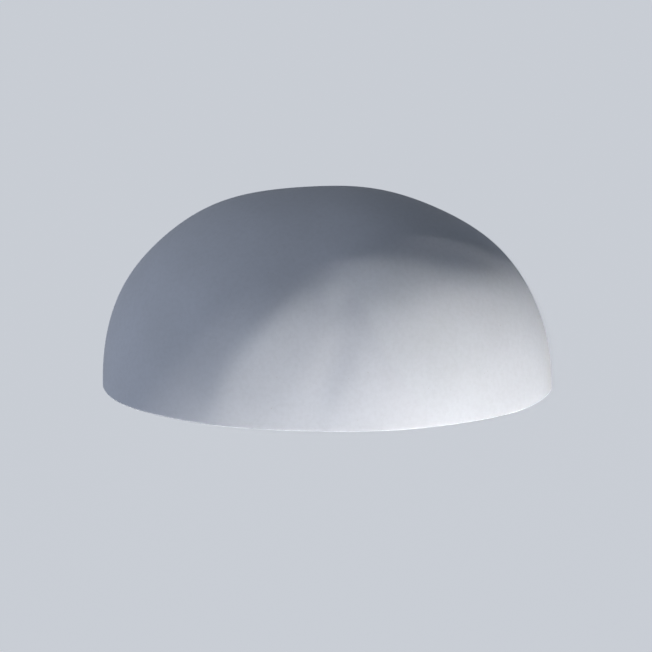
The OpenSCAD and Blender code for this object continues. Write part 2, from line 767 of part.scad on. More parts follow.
module terminal_tubes() {
    color(brass) for (p = poles)
        translate([pole_x(p), -tube_axis, block_bottom + tube_inset]) difference() {
            tube(tube_r, tube_bore_r, block_h - 2 * tube_inset);
            for (z = screw_rows)
                translate([0, 0, z - tube_inset]) rotate([90, 0, 0])
                    cylinder(d = small_screw_d + 2 * running, h = tube_r + past);
        }
}

// Each screw stops just short of the lead in its tube.
module terminal_screws() {
    head_seat = block_front - 0.5;
    screw_len = head_seat - tube_axis - lead_d / 2 - running;
    color(zinc) for (p = poles, z = screw_rows)
        on_wall(pole_x(p), block_bottom + z) translate([0, 0, head_seat])
            slotted_screw(small_screw_d, screw_len, 3.9, 2, 0.7);
}

module block_nut() {
    color(zinc) on_wall(-block_x - pole_pitch / 2, block_bottom + block_h / 2)
        translate([0, 0, block_front]) hex_nut(block_nut_af, block_nut_t, block_stud_d + 2 * running);
}

// ---------- leads ----------

// A lead from the top of one pole to one terminal of the lampholder. The rise shapes its bend.
module holder_lead(pole, side, rise) {
    x = pole_x(pole);
    lead_height = arm_z + lead_z;
    mouth = [side * terminal_x, holder_d / 2 + 1 - lamp_reach, lead_height];
    swept_tube(
        lead_route(
            [x, -tube_axis, block_top - 9],
            [x, -tube_axis, block_top + 2],
            [x, -tube_axis, block_top + rise],
            mouth + [0, 18, 0],
            mouth,
            [mouth[0], -lamp_reach - 1, lead_height]),
        lead_d / 2, [1, 0, 0]);
}

module live_lead() {
    color([0.36, 0.2, 0.1]) holder_lead(-1, -1, 18);
}

module neutral_lead() {
    color([0.15, 0.35, 0.7]) holder_lead(0, 1, 12);
}

// The earth lead leaves the third pole upwards and comes down into the ring terminal's barrel.
module earth_lead() {
    x = pole_x(1);
    color([0.3, 0.6, 0.2]) swept_tube(
        lead_route(
            [x, -tube_axis, block_top - 9],
            [x, -tube_axis, block_top + 2],
            [x, -tube_axis, block_top + 10],
            [earth_stud_x, -barrel_axis, block_top + 8],
            [earth_stud_x, -barrel_axis, barrel_z + barrel_len + 1],
            [earth_stud_x, -barrel_axis, barrel_z + 1]),
        lead_d / 2, [1, 0, 0]);
}

// Ring terminal: a flat eye round the stud, and a crimped barrel that points up.
module earth_ring() {
    color(nickel) {
        on_wall(earth_stud_x, earth_stud_z) translate([0, 0, plate_t + washer_t]) difference() {
            union() {
                cylinder(r = 4, h = eye_t);
                translate([-1.8, 0, 0]) cube([3.6, barrel_z - earth_stud_z + 0.5, eye_t]);
            }
            translate([0, 0, -past]) cylinder(d = stud_d + 0.3, h = eye_t + 2 * past);
        }
        translate([earth_stud_x, -barrel_axis, barrel_z]) tube(2, lead_d / 2 + running, barrel_len);
    }
}

module earth_washer() {
    teeth = 8;
    color(zinc) on_wall(earth_stud_x, earth_stud_z) translate([0, 0, plate_t]) linear_extrude(washer_t) difference() {
        union() {
            circle(r = 3.2);
            for (i = [0:teeth - 1]) rotate(360 * i / teeth) translate([0, -0.6]) square([4.1, 1.2]);
        }
        circle(d = stud_d + 0.3);
    }
}

module earth_nut() {
    color(brass) on_wall(earth_stud_x, earth_stud_z) translate([0, 0, plate_t + washer_t + eye_t])
        hex_nut(nut_af, nut_t, stud_d + 2 * running);
}

shade();
wall_bracket();
weld_studs();
ear_nuts();
cable_grommet();
lamp_arm();
arm_washers();
arm_nuts();
lampholder_body();
holder_screws();
screw_shell();
holder_terminal(1);  // neutral_terminal
holder_terminal(-1);  // live_terminal
contact_guide();
holder_terminal_screws();
contact_plunger();
contact_spring();
lamp_bulb();
lamp_cap();
lamp_insulator();
lamp_contact();
lamp_stem();
lamp_filament();
terminal_block();
terminal_tubes();
terminal_screws();
block_nut();
live_lead();
neutral_lead();
earth_lead();
earth_ring();
earth_washer();
earth_nut();
clamp_screw(-1);  // clamp_screw_left
clamp_pad(-1);  // clamp_pad_left
clamp_screw(1);  // clamp_screw_right
clamp_pad(1);  // clamp_pad_right
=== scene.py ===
"""Half-bowl ceramic wall sconce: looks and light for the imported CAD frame.

Lengths are written in millimetres and turned into metres where meshes are made. The origin is on the wall,
midway between the two wall screws. The room lies towards -Y and +Z is up.
"""

import math

import bpy
import bmesh
from mathutils import Matrix, Vector


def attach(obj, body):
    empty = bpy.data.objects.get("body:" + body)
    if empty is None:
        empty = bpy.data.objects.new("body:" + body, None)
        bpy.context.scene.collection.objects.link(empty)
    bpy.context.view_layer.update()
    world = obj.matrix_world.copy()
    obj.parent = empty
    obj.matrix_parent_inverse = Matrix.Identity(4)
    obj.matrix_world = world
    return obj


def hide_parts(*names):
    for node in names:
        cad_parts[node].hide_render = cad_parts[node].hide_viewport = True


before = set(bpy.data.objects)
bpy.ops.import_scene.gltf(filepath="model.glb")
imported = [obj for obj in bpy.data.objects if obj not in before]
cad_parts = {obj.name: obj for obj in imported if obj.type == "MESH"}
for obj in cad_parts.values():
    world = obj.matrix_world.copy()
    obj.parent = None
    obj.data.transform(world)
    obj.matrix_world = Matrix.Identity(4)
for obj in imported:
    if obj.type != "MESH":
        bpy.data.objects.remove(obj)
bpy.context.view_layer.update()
MM = 0.001


# ---------- sizes that repeat the CAD source ----------

SHADE_W = 350.0
SHADE_H = 158.0
SHADE_D = 130.0
SHADE_WALL = 7.0
ARCH_POWER = 2.2
HAND_WAVE = 0.8
WAVE_COUNT = 9
WAVE_START = 79.0
WAVE_SHARE = 0.7
WAVE_SWAY = 60.0
SWELL_SHARE = 0.6
FLANGE_T = 7.0
FLANGE_LEG = 27.0
FLANGE_CROWN = 20.0
LEDGE_ABOVE_RIM = 118.0
RIM_Z = -98.0

HALF_W = SHADE_W / 2
CUT_W = HALF_W - FLANGE_LEG
CUT_H = SHADE_H - FLANGE_CROWN

# Lampholder and lamp, from the underside of the arm down.
ARM_Z = 16.0
LAMP_REACH = 52.0
HOLDER_D = 40.0
HOLDER_H = 50.0
LAMP_DEPTH = 26.0
TIP_Z = LAMP_DEPTH - HOLDER_H
BORE_TOP = TIP_Z + 1
THREAD_D = 26.2
THREAD_DEPTH = 0.8
THREAD_PITCH = 3.63
THREAD_GAP = 0.4
THREAD_TOP = TIP_Z - 7
THREAD_END = TIP_Z - 22
THREAD_FADE = 1.2
THREAD_MEAN_R = THREAD_D / 2 - THREAD_DEPTH / 2
SHELL_WALL = 0.8
SHELL_OUTER_R = THREAD_D / 2 + THREAD_GAP + SHELL_WALL
SHELL_TOP_T = 0.5
SHELL_HOLE_R = 8.0
MOUTH_DEPTH = 4.0
STRAP = (2.8, 0.8)
CAP_LEN = 26.5
CAP_WALL = 0.8
CAP_SHOULDER = 4.6
CAP_SHOULDER_R = 11.0
TERMINAL_X = 11.5
STRAP_TOP = -9.2

# Leads, terminal block and earth connection.
LEAD_D = 2.2
LEAD_Z = -5.7
POLE_PITCH = 10.0
BLOCK_X = 52.0
BLOCK_TOP = -20.0
TUBE_AXIS = 10.0
EARTH_STUD_X = -24.0
BARREL_AXIS = 4.3
BARREL_Z = -31.0
BARREL_LEN = 7.0

# A lead starts inside its tube and leaves it straight. It comes in straight from a margin outside its other
# seat, and ends that margin past the terminal's middle or above the barrel's foot.
IN_TUBE = 9.0
OUT_OF_TUBE = 2.0
SEAT_MARGIN = 1.0
LIVE_RISE = 18.0      # how strongly each lead leans up from its tube
NEUTRAL_RISE = 12.0
EARTH_RISE = 10.0
HOLDER_LEAN = 18.0    # and how strongly it leans out from its other seat
EARTH_LEAN = 8.0


def cosd(a):
    return math.cos(math.radians(a))


def sind(a):
    return math.sin(math.radians(a))


def even_steps(start, end, count):
    """Numbers from start to end, in that many even steps."""
    return [start + (end - start) * k / count for k in range(count + 1)]


def arch(x, w, h):
    """Height of an arch of half width w and height h, at x."""
    return h * max(0.0, 1 - min(1.0, abs(x) / w) ** ARCH_POWER) ** (1 / ARCH_POWER)


def rim_depth(x, w, d):
    """Depth of an elliptical rim of half width w and depth d, at x."""
    return d * math.sqrt(max(0.0, 1 - (x / w) ** 2))


def hand_finish(u, v):
    """Size factor of the hand finish, as in the CAD source."""
    waves = WAVE_SHARE * cosd(WAVE_COUNT * (u - WAVE_START) + WAVE_SWAY * cosd(v))
    swell = SWELL_SHARE * cosd(u) * cosd(2 * v)
    return 1 + HAND_WAVE / SHADE_D * sind(u) * (waves + swell)


# ---------- meshes ----------

MERGE_DISTANCE = 2e-6    # metres
SHORTEST_EDGE = 1e-6     # metres
SHARP_ANGLE = 35.0       # degrees between two faces from which their edge stays sharp


def mesh_object(name, points, faces, body, replaces):
    """A mesh piece from points in millimetres, merged, with outward faces, that rides on a body."""
    mesh = bpy.data.meshes.new(name)
    mesh.from_pydata([Vector(p) * MM for p in points], [], faces)
    work = bmesh.new()
    work.from_mesh(mesh)
    bmesh.ops.remove_doubles(work, verts=work.verts, dist=MERGE_DISTANCE)
    bmesh.ops.dissolve_degenerate(work, edges=work.edges, dist=SHORTEST_EDGE)
    bmesh.ops.recalc_face_normals(work, faces=work.faces)
    work.to_mesh(mesh)
    work.free()
    for face in mesh.polygons:
        face.use_smooth = True
    mesh.set_sharp_from_angle(angle=math.radians(SHARP_ANGLE))
    piece = bpy.data.objects.new(name, mesh)
    bpy.context.scene.collection.objects.link(piece)
    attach(piece, body)
    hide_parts(*replaces)
    return piece


def ring_faces(rows, n, start=0):
    """Quads between rows of n points, where every row closes on itself."""
    return [
        (start + i * n + j, start + i * n + (j + 1) % n,
         start + (i + 1) * n + (j + 1) % n, start + (i + 1) * n + j)
        for i in range(rows - 1) for j in range(n)]


# ---------- shade ----------

RIM_ROUND = 1.6      # radius of the rim's outer edge
MOUTH_ROUND = 1.2    # radius of the rim's inner edge
BACK_ROUND = 1.0     # radius of the outer edge at the wall
OPENING_ROUND = 1.0  # radius of the edges round the back opening
TIP_ROUND = 0.1      # share of the outer edges' rounding that is left at the two corners
ROUND_GAIN = 40.0    # height of the arch over which that share grows by 1
STATIONS = 300       # steps from the right corner to the left one

# Where an outline of the shade has its points: degrees up from the rim, closest at the edges, then shares of
# a straight stretch, and degrees of a quarter round.
EDGE_STEPS = [0.0, 0.12, 0.25, 0.38, 0.52, 0.7, 1.0, 1.5]
MIDDLE_STEPS = even_steps(2.2, 87.8, 76)
HOLLOW_STEPS = even_steps(4.0, 90.0, 60)
STRAIGHT_STEPS = (0.25, 0.5, 0.75)
ROUND_STEPS = (0, 30, 60, 90)

# Soft dents and swellings of the hand finish. Each has its place (u from the right corner, v up
# from the rim, in degrees), half length, half width, turn from level, and height.
HILLS = [
    (87, 17, 26, 9, 112, -1.2),
    (84, 36, 10, 8, 112, -0.75),
    (103, 27, 34, 12, 131, 1.4),
    (66, 36, 16, 12, 0, 1.1),
    (57, 61, 24, 9, 160, -1.1),
    (84, 51, 22, 9, 0, 1.2),
    (52, 47, 22, 9, 165, 0.8),
    (36, 23, 14, 5, 70, -0.6),
    (104, 0, 26, 7, 0, -1.2),
    (114, 9, 17, 11, 90, 1.0),
    (125, 45, 40, 22, 60, 0.7),
]
SURFACE_STEP_U = 3.05   # millimetres along the shade for a degree of u, at the middle
SURFACE_STEP_V = 2.5    # millimetres up the shade for a degree of v
HILL_FADE = 9.0         # degrees over which the hills fade out towards the wall and the corners


def hills(u, v):
    """Height of the soft dents and swellings, at a place on the outside."""
    total = 0.0
    for place_u, place_v, half_length, half_width, turn, height in HILLS:
        across = (u - place_u) * SURFACE_STEP_U * sind(place_u)
        up = (v - place_v) * SURFACE_STEP_V
        along = across * cosd(turn) + up * sind(turn)
        beside = up * cosd(turn) - across * sind(turn)
        total += height * math.exp(-0.5 * ((along / half_length) ** 2 + (beside / half_width) ** 2))
    fade = min(1.0, (90 - v) / HILL_FADE) * min(1.0, u / HILL_FADE) * min(1.0, (180 - u) / HILL_FADE)
    return total * fade


def rounding(depth, radius):
    """How far an edge of that radius draws a surface back, at a depth from the edge."""
    if depth >= radius or radius <= 0:
        return 0.0
    return radius - math.sqrt(max(0.0, radius ** 2 - (radius - depth) ** 2))


def arch_normal(x, w, h):
    """Outward direction of the arch in the wall's plane, over x."""
    z = arch(x, w, h)
    nx = math.copysign((abs(x) / w) ** (ARCH_POWER - 1) / w, x)
    nz = (z / h) ** (ARCH_POWER - 1) / h
    size = math.hypot(nx, nz)
    return nx / size, nz / size


def rim_normal(x, w, d):
    """Outward direction of the rim in its plane, over x."""
    y = rim_depth(x, w, d)
    nx, ny = x / w ** 2, -y / d ** 2
    size = math.hypot(nx, ny)
    return nx / size, ny / size


def outer_point(u, v):
    """A point of the outside, with its edges rounded at the rim and at the wall."""
    x = HALF_W * cosd(u)
    f = hand_finish(u, v)
    point = Vector((
        x * f,
        -rim_depth(x, HALF_W, SHADE_D) * cosd(v) * f,
        arch(x, HALF_W, SHADE_H) * sind(v) * f))
    point *= 1 + hills(u, v) / point.length
    round_share = min(1.0, TIP_ROUND + arch(x, HALF_W, SHADE_H) / ROUND_GAIN)
    by_rim = rounding(point.z, RIM_ROUND * round_share)
    by_wall = rounding(-point.y, BACK_ROUND * round_share)
    if by_rim > 0:
        nx, ny = rim_normal(x, HALF_W, SHADE_D)
        point.x -= nx * by_rim
        point.y -= ny * by_rim
    if by_wall > by_rim:
        nx, nz = arch_normal(x, HALF_W, SHADE_H)
        point.x -= nx * (by_wall - by_rim)
        point.z -= nz * (by_wall - by_rim)
    point.y = min(0.0, point.y)
    point.z = max(0.0, point.z)
    return point


def hollow_point(u, v):
    """A point of the inside, from the rim up to the front of the flange."""
    w, d = HALF_W - SHADE_WALL, SHADE_D - SHADE_WALL
    x = w * math.sqrt(1 - (FLANGE_T / d) ** 2) * cosd(u)
    depth = rim_depth(x, w, d)
    # The arc ends at the flange's front. At the corners the hollow is no deeper, so it has no arc there.
    arc = 0.0 if u in (0.0, 180.0) else math.degrees(math.acos(min(1.0, FLANGE_T / depth)))
    a = v / 90 * arc
    point = Vector((x, -depth * cosd(a), arch(x, w, SHADE_H - SHADE_WALL) * sind(a)))
    back = rounding(point.z, MOUTH_ROUND)
    nx, ny = rim_normal(x, w, d)
    point.x += nx * back
    point.y += ny * back
    return point


def opening_point(u):
    """A point of the edge of the opening in the back."""
    x = CUT_W * cosd(u)
    return Vector((x, 0.0, min(LEDGE_ABOVE_RIM, arch(x, CUT_W, CUT_H))))


def between(start, end):
    """Points inside a straight stretch, without its ends."""
    return [start.lerp(end, t) for t in STRAIGHT_STEPS]


def shade_loop(u):
    """The closed outline of the shade at station u: outside, rim, hollow, flange, opening edge and back."""
    down = [90 - s for s in EDGE_STEPS] + MIDDLE_STEPS[::-1] + EDGE_STEPS[::-1]
    loop = [outer_point(u, v) for v in down]
    loop += between(loop[-1], hollow_point(u, 0.0))
    loop += [hollow_point(u, v) for v in EDGE_STEPS + HOLLOW_STEPS]
    edge = opening_point(u)
    front = loop[-1]
    away = Vector((front.x - edge.x, 0.0, front.z - edge.z)).normalized()
    loop += between(front, edge + away * OPENING_ROUND + Vector((0, -FLANGE_T, 0)))
    for a in ROUND_STEPS:
        loop.append(edge + away * OPENING_ROUND * (1 - sind(a))
                    + Vector((0, -FLANGE_T + OPENING_ROUND * (1 - cosd(a)), 0)))
    for a in ROUND_STEPS:
        loop.append(edge + away * OPENING_ROUND * (1 - cosd(a))
                    + Vector((0, -OPENING_ROUND * (1 - sind(a)), 0)))
    loop += between(loop[-1], loop[0])
    return loop


def build_shade():
    """The ceramic half bowl with its back flange, lofted through its outlines."""
    loops = [shade_loop(180.0 * i / STATIONS) for i in range(STATIONS + 1)]
    n = len(loops[0])
    points = [p + Vector((0, 0, RIM_Z)) for loop in loops for p in loop]
    faces = ring_faces(STATIONS + 1, n)
    faces.append(tuple(range(n)))
    faces.append(tuple(STATIONS * n + j for j in range(n - 1, -1, -1)))
    return mesh_object("ceramic_shade", points, faces, "shade", ("shade",))


# ---------- threads ----------

THREAD_SIDES = 96
RINGS_A_PITCH = 14
THREAD_STEP = THREAD_PITCH / RINGS_A_PITCH
CAP_RINGS_START = 0.6    # the cap's close rings start that far above its thread
CAP_RINGS_STOP = 0.4     # and stop that far above the end of its skirt


def thread_wave(z):
    """Half the depth of the thread at height z. It fades out towards both ends of the threaded stretch."""
    share = min(1.0, (THREAD_TOP - z) / THREAD_FADE, (z - THREAD_END) / THREAD_FADE)
    return THREAD_DEPTH / 2 * max(0.0, share)


def thread_lack(z):
    """What the thread's half depth lacks at height z."""
    return THREAD_DEPTH / 2 - thread_wave(z)


def heights(top, bottom):
    """Heights from top down to bottom, a thread step apart."""
    count = int((top - bottom) / THREAD_STEP)
    return [top - i * THREAD_STEP for i in range(count + 1)]


def thread_rows(rings):
    """Points of rings (z, radius, wave), in the lampholder's place."""
    rows = []
    for z, radius, wave in rings:
        for j in range(THREAD_SIDES):
            a = 360 * j / THREAD_SIDES
            r = radius + wave * cosd(360 * z / THREAD_PITCH - a)
            rows.append(Vector((r * cosd(a), r * sind(a) - LAMP_REACH, z + ARM_Z)))
    return rows


def thread_tube(outer, inner):
    """Points and faces of a tube between two lists of rings of the same length."""
    rows, n = len(outer), THREAD_SIDES
    faces = ring_faces(rows, n) + ring_faces(rows, n, rows * n)
    for row in (0, rows - 1):
        for j in range(n):
            a, b = row * n + j, row * n + (j + 1) % n
            faces.append((a, b, rows * n + b, rows * n + a))
    return thread_rows(outer) + thread_rows(inner), faces


def cap_rings(r, r_top):
    """Rings of the outside or the inside of the lamp's cap, from its shoulder to the end of its skirt."""
    skirt_end = TIP_Z - CAP_LEN
    zs = heights(THREAD_TOP + CAP_RINGS_START, skirt_end + CAP_RINGS_STOP)
    rings = [(TIP_Z - CAP_SHOULDER, r_top, 0.0)]
    rings += [(z, r - thread_lack(z), thread_wave(z)) for z in zs]
    return rings + [(skirt_end, r - thread_lack(skirt_end), 0.0)]


def build_lamp_cap():
    """The lamp's nickel cap, whose thread is a real groove inside and out."""
    points, faces = thread_tube(
        cap_rings(THREAD_MEAN_R, CAP_SHOULDER_R),
        cap_rings(THREAD_MEAN_R - CAP_WALL, CAP_SHOULDER_R - CAP_WALL))
    return mesh_object("threaded_lamp_cap", points, faces, "lamp", ("lamp_cap",))


def box_mesh(low, high):
    """Points and faces of a box between two corners."""
    points = [(x, y, z) for x in (low[0], high[0]) for y in (low[1], high[1]) for z in (low[2], high[2])]
    faces = [(0, 1, 3, 2), (4, 6, 7, 5), (0, 4, 5, 1), (2, 3, 7, 6), (0, 2, 6, 4), (1, 5, 7, 3)]
    return points, faces


def build_screw_shell():
    """The holder's threaded brass shell, with its top washer and the strap that rises to the terminal."""
    top = BORE_TOP - SHELL_TOP_T
    zs = heights(top, MOUTH_DEPTH - HOLDER_H)
    n = THREAD_SIDES
    outer = [(z, SHELL_OUTER_R, 0.0) for z in zs]
    inner = [(z, THREAD_MEAN_R + THREAD_GAP + thread_lack(z), thread_wave(z)) for z in zs]
    cover = [(BORE_TOP, SHELL_OUTER_R, 0.0), (BORE_TOP, SHELL_HOLE_R, 0.0), (top, SHELL_HOLE_R, 0.0)]
    rings = cover[::-1] + outer + inner[::-1]
    points = thread_rows(rings)
    faces = ring_faces(len(rings), n)
    last = (len(rings) - 1) * n
    faces += [(last + j, last + (j + 1) % n, (j + 1) % n, j) for j in range(n)]
    low = (TERMINAL_X - STRAP[0] / 2, -STRAP[1] / 2 - LAMP_REACH, BORE_TOP + ARM_Z)
    high = (TERMINAL_X + STRAP[0] / 2, STRAP[1] / 2 - LAMP_REACH, STRAP_TOP + ARM_Z)
    strap_points, strap_faces = box_mesh(low, high)
    count = len(points)
    faces += [tuple(k + count for k in face) for face in strap_faces]
    return mesh_object(
        "threaded_screw_shell", points + [Vector(p) for p in strap_points], faces,
        "bracket", ("screw_shell",))


# ---------- leads ----------

LEAD_SIDES = 20
LEAD_STEPS = 60
STRIPE_SIDES = (2, 3, 4, 5, 6, 7)   # sides of the earth lead that are yellow


def curve_point(a, b, c, d, t):
    """A point of the curve from a to d that leans towards b and c."""
    return a * (1 - t) ** 3 + b * 3 * (1 - t) ** 2 * t + c * 3 * (1 - t) * t ** 2 + d * t ** 3


def lead_route(start, out, lean_out, lean_in, come_in, end):
    """Straight out of its seat, one curve, and straight into its other seat."""
    points = [Vector(p) for p in (start, out, lean_out, lean_in, come_in, end)]
    curve = [curve_point(*points[1:5], i / LEAD_STEPS) for i in range(LEAD_STEPS + 1)]
    return [points[0]] + curve + [points[-1]]


def lead_tube(name, route, replaces):
    """A round insulated lead along a route. Its sides travel without twisting."""
    side = Vector((1, 0, 0))
    points = []
    for i, place in enumerate(route):
        ahead = (route[min(i + 1, len(route) - 1)] - route[max(i - 1, 0)]).normalized()
        side = (side - ahead * side.dot(ahead)).normalized()
        across = side.cross(ahead)
        for j in range(LEAD_SIDES):
            a = 360 * j / LEAD_SIDES
            points.append(place + (side * cosd(a) + across * sind(a)) * LEAD_D / 2)
    n, last = LEAD_SIDES, (len(route) - 1) * LEAD_SIDES
    faces = ring_faces(len(route), n)
    faces.append(tuple(range(n)))
    faces.append(tuple(last + j for j in range(n - 1, -1, -1)))
    return mesh_object(name, points, faces, "bracket", replaces)


def pole_x(pole):
    """Place of a pole of the terminal block: -1, 0 or 1."""
    return pole * POLE_PITCH - BLOCK_X


def holder_route(pole, side, rise):
    """From the top of one pole to one terminal of the lampholder."""
    x = pole_x(pole)
    height = ARM_Z + LEAD_Z
    mouth_y = HOLDER_D / 2 + SEAT_MARGIN - LAMP_REACH
    return lead_route(
        (x, -TUBE_AXIS, BLOCK_TOP - IN_TUBE),
        (x, -TUBE_AXIS, BLOCK_TOP + OUT_OF_TUBE),
        (x, -TUBE_AXIS, BLOCK_TOP + rise),
        (side * TERMINAL_X, mouth_y + HOLDER_LEAN, height),
        (side * TERMINAL_X, mouth_y, height),
        (side * TERMINAL_X, -LAMP_REACH - SEAT_MARGIN, height))


def earth_route():
    """From the top of the third pole down into the ring terminal's barrel."""
    x = pole_x(1)
    return lead_route(
        (x, -TUBE_AXIS, BLOCK_TOP - IN_TUBE),
        (x, -TUBE_AXIS, BLOCK_TOP + OUT_OF_TUBE),
        (x, -TUBE_AXIS, BLOCK_TOP + EARTH_RISE),
        (EARTH_STUD_X, -BARREL_AXIS, BLOCK_TOP + EARTH_LEAN),
        (EARTH_STUD_X, -BARREL_AXIS, BARREL_Z + BARREL_LEN + SEAT_MARGIN),
        (EARTH_STUD_X, -BARREL_AXIS, BARREL_Z + SEAT_MARGIN))


# ---------- finishes ----------

WAVE_NODE_RATE = 20    # the wave texture counts its place that many times
BEVEL_SAMPLES = 4

# An edge is found by the cosine between the surface's true direction and its softened one.
WEAR_STARTS = 0.98
WEAR_IS_FULL = 0.75

# Wear of edges: its reach in millimetres, and how much of it shows.
METAL_WEAR = (0.25, 0.7)
PORCELAIN_WEAR = (0.5, 0.5)
PLASTIC_WEAR = (0.3, 0.6)

PATCH_SIZE = 6         # a metal's patches, counted in sizes of its grain
THREAD_RELIEF = 0.3    # millimetres

# Heights in the frame: the lamp's glow starts just below the neck and is full in the middle of the ball.
GLOW_STARTS = -34.0
GLOW_IS_FULL = -62.0


class Finish:
    """One procedural material. Sizes in its calls are millimetres on the real surface."""

    def __init__(self, name, **sockets):
        self.material = bpy.data.materials.new(name)
        self.material.use_nodes = True
        self.nodes = self.material.node_tree.nodes
        self.links = self.material.node_tree.links
        self.nodes.clear()
        self.shader = self.nodes.new("ShaderNodeBsdfPrincipled")
        output = self.nodes.new("ShaderNodeOutputMaterial")
        self.links.new(self.shader.outputs["BSDF"], output.inputs["Surface"])
        self.place = self.nodes.new("ShaderNodeTexCoord").outputs["Object"]
        for socket, value in sockets.items():
            self.shader.inputs[socket.replace("_", " ")].default_value = value

    def set(self, socket, source):
        self.links.new(source, self.shader.inputs[socket])

    def stretched(self, stretch):
        """The place on the surface, with each axis counted that many times."""
        node = self.nodes.new("ShaderNodeMapping")
        node.inputs["Scale"].default_value = stretch
        self.links.new(self.place, node.inputs["Vector"])
        return node.outputs["Vector"]

    def noise(self, size, detail=2.0, roughness=0.5, stretch=(1, 1, 1), distortion=0.0):
        node = self.nodes.new("ShaderNodeTexNoise")
        node.inputs["Scale"].default_value = 1 / (size * MM)
        node.inputs["Detail"].default_value = detail
        node.inputs["Roughness"].default_value = roughness
        node.inputs["Distortion"].default_value = distortion
        self.links.new(self.stretched(stretch), node.inputs["Vector"])
        return node.outputs["Fac"]

    def cells(self, size):
        """Distance from the nearest of many scattered points."""
        node = self.nodes.new("ShaderNodeTexVoronoi")
        node.inputs["Scale"].default_value = 1 / (size * MM)
        self.links.new(self.place, node.inputs["Vector"])
        return node.outputs["Distance"]

    def rings(self, pitch, axis):
        """Bands across an axis, one for each pitch: a fine thread or a coiled wire."""
        node = self.nodes.new("ShaderNodeTexWave")
        node.wave_type = "BANDS"
        node.bands_direction = axis
        node.wave_profile = "SIN"
        node.inputs["Scale"].default_value = 2 * math.pi / (WAVE_NODE_RATE * pitch * MM)
        self.links.new(self.place, node.inputs["Vector"])
        return node.outputs["Fac"]

    def axis(self, name):
        """One coordinate of the place, in metres."""
        node = self.nodes.new("ShaderNodeSeparateXYZ")
        self.links.new(self.place, node.inputs["Vector"])
        return node.outputs[name]

    def shares(self, source, *stops):
        """A ramp of numbers: each stop is (position, number)."""
        return self.colours(source, *[(at, (value, value, value)) for at, value in stops])

    def colours(self, source, *stops):
        """A ramp of colours: each stop is (position, colour)."""
        node = self.nodes.new("ShaderNodeValToRGB")
        ramp = node.color_ramp
        while len(ramp.elements) < len(stops):
            ramp.elements.new(1.0)
        for element, (at, colour) in zip(ramp.elements, stops):
            element.position = at
            element.color = (*colour, 1.0)
        self.links.new(source, node.inputs["Fac"])
        return node.outputs["Color"]

    def blend(self, share, below, above, kind="MIX"):
        """One colour laid over another. Either may be a socket or a plain colour."""
        node = self.nodes.new("ShaderNodeMix")
        node.data_type = "RGBA"
        node.blend_type = kind
        for socket, value in (("Factor", share), ("A", below), ("B", above)):
            target = [s for s in node.inputs if s.name == socket and s.enabled][0]
            if isinstance(value, bpy.types.NodeSocket):
                self.links.new(value, target)
            elif socket == "Factor":
                target.default_value = value
            else:
                target.default_value = (*value, 1.0)
        return [s for s in node.outputs if s.enabled][0]

    def math(self, operation, a, b):
        node = self.nodes.new("ShaderNodeMath")
        node.operation = operation
        for socket, value in zip(node.inputs, (a, b)):
            if isinstance(value, bpy.types.NodeSocket):
                self.links.new(value, socket)
            else:
                socket.default_value = value
        return node.outputs["Value"]

    def stretch_range(self, source, low, high, to_low, to_high):
        node = self.nodes.new("ShaderNodeMapRange")
        self.links.new(source, node.inputs["Value"])
        node.inputs["From Min"].default_value = low
        node.inputs["From Max"].default_value = high
        node.inputs["To Min"].default_value = to_low
        node.inputs["To Max"].default_value = to_high
        return node.outputs["Result"]

    def worn_edges(self, reach, share):
        """That share on sharp edges and 0 on flats: where handling wears a finish."""
        soft = self.nodes.new("ShaderNodeBevel")
        soft.samples = BEVEL_SAMPLES
        soft.inputs["Radius"].default_value = reach * MM
        plain = self.nodes.new("ShaderNodeNewGeometry")
        dot = self.nodes.new("ShaderNodeVectorMath")
        dot.operation = "DOT_PRODUCT"
        self.links.new(soft.outputs["Normal"], dot.inputs[0])
        self.links.new(plain.outputs["Normal"], dot.inputs[1])
        edge = self.stretch_range(dot.outputs["Value"], WEAR_STARTS, WEAR_IS_FULL, 0.0, 1.0)
        return self.math("MULTIPLY", edge, share)

    def relief(self, *layers):
        """Bumps on bumps: each layer is (height source, depth in millimetres)."""
        under = None
        for source, depth in layers:
            node = self.nodes.new("ShaderNodeBump")
            node.inputs["Strength"].default_value = 1.0
            node.inputs["Distance"].default_value = depth * MM
            self.links.new(source, node.inputs["Height"])
            if under:
                self.links.new(under, node.inputs["Normal"])
            under = node.outputs["Normal"]
        self.set("Normal", under)


def unglazed_ceramic():
    """White bisque: faint clouds and mottle, rare small specks and a fine grain."""
    f = Finish("unglazed_white_ceramic", IOR=1.45, Diffuse_Roughness=0.25, Specular_IOR_Level=0.32)
    clouds = f.colours(
        f.noise(70, detail=3),
        (0.30, (0.835, 0.825, 0.805)), (0.52, (0.865, 0.855, 0.838)), (0.72, (0.885, 0.878, 0.862)))
    mottle = f.colours(
        f.noise(3.2, detail=4, roughness=0.6),
        (0.34, (0.965, 0.963, 0.958)), (0.60, (1.0, 1.0, 1.0)))
    body = f.blend(1.0, clouds, mottle, "MULTIPLY")
    specks = f.shares(f.cells(4.6), (0.0, 1.0), (0.045, 0.75), (0.075, 0.0))
    rare = f.shares(f.noise(9, detail=1), (0.50, 0.0), (0.62, 1.0))
    speckled = f.blend(f.math("MULTIPLY", specks, rare), body, (0.62, 0.56, 0.48))
    f.set("Base Color", speckled)
    f.set("Roughness", f.shares(f.noise(6, detail=4), (0.3, 0.60), (0.7, 0.76)))
    f.relief(
        (f.noise(26, detail=2), 0.10),
        (f.noise(2.4, detail=3, stretch=(1, 1, 1.6)), 0.022),
        (f.noise(0.7, detail=3, roughness=0.65), 0.010))
    return f.material


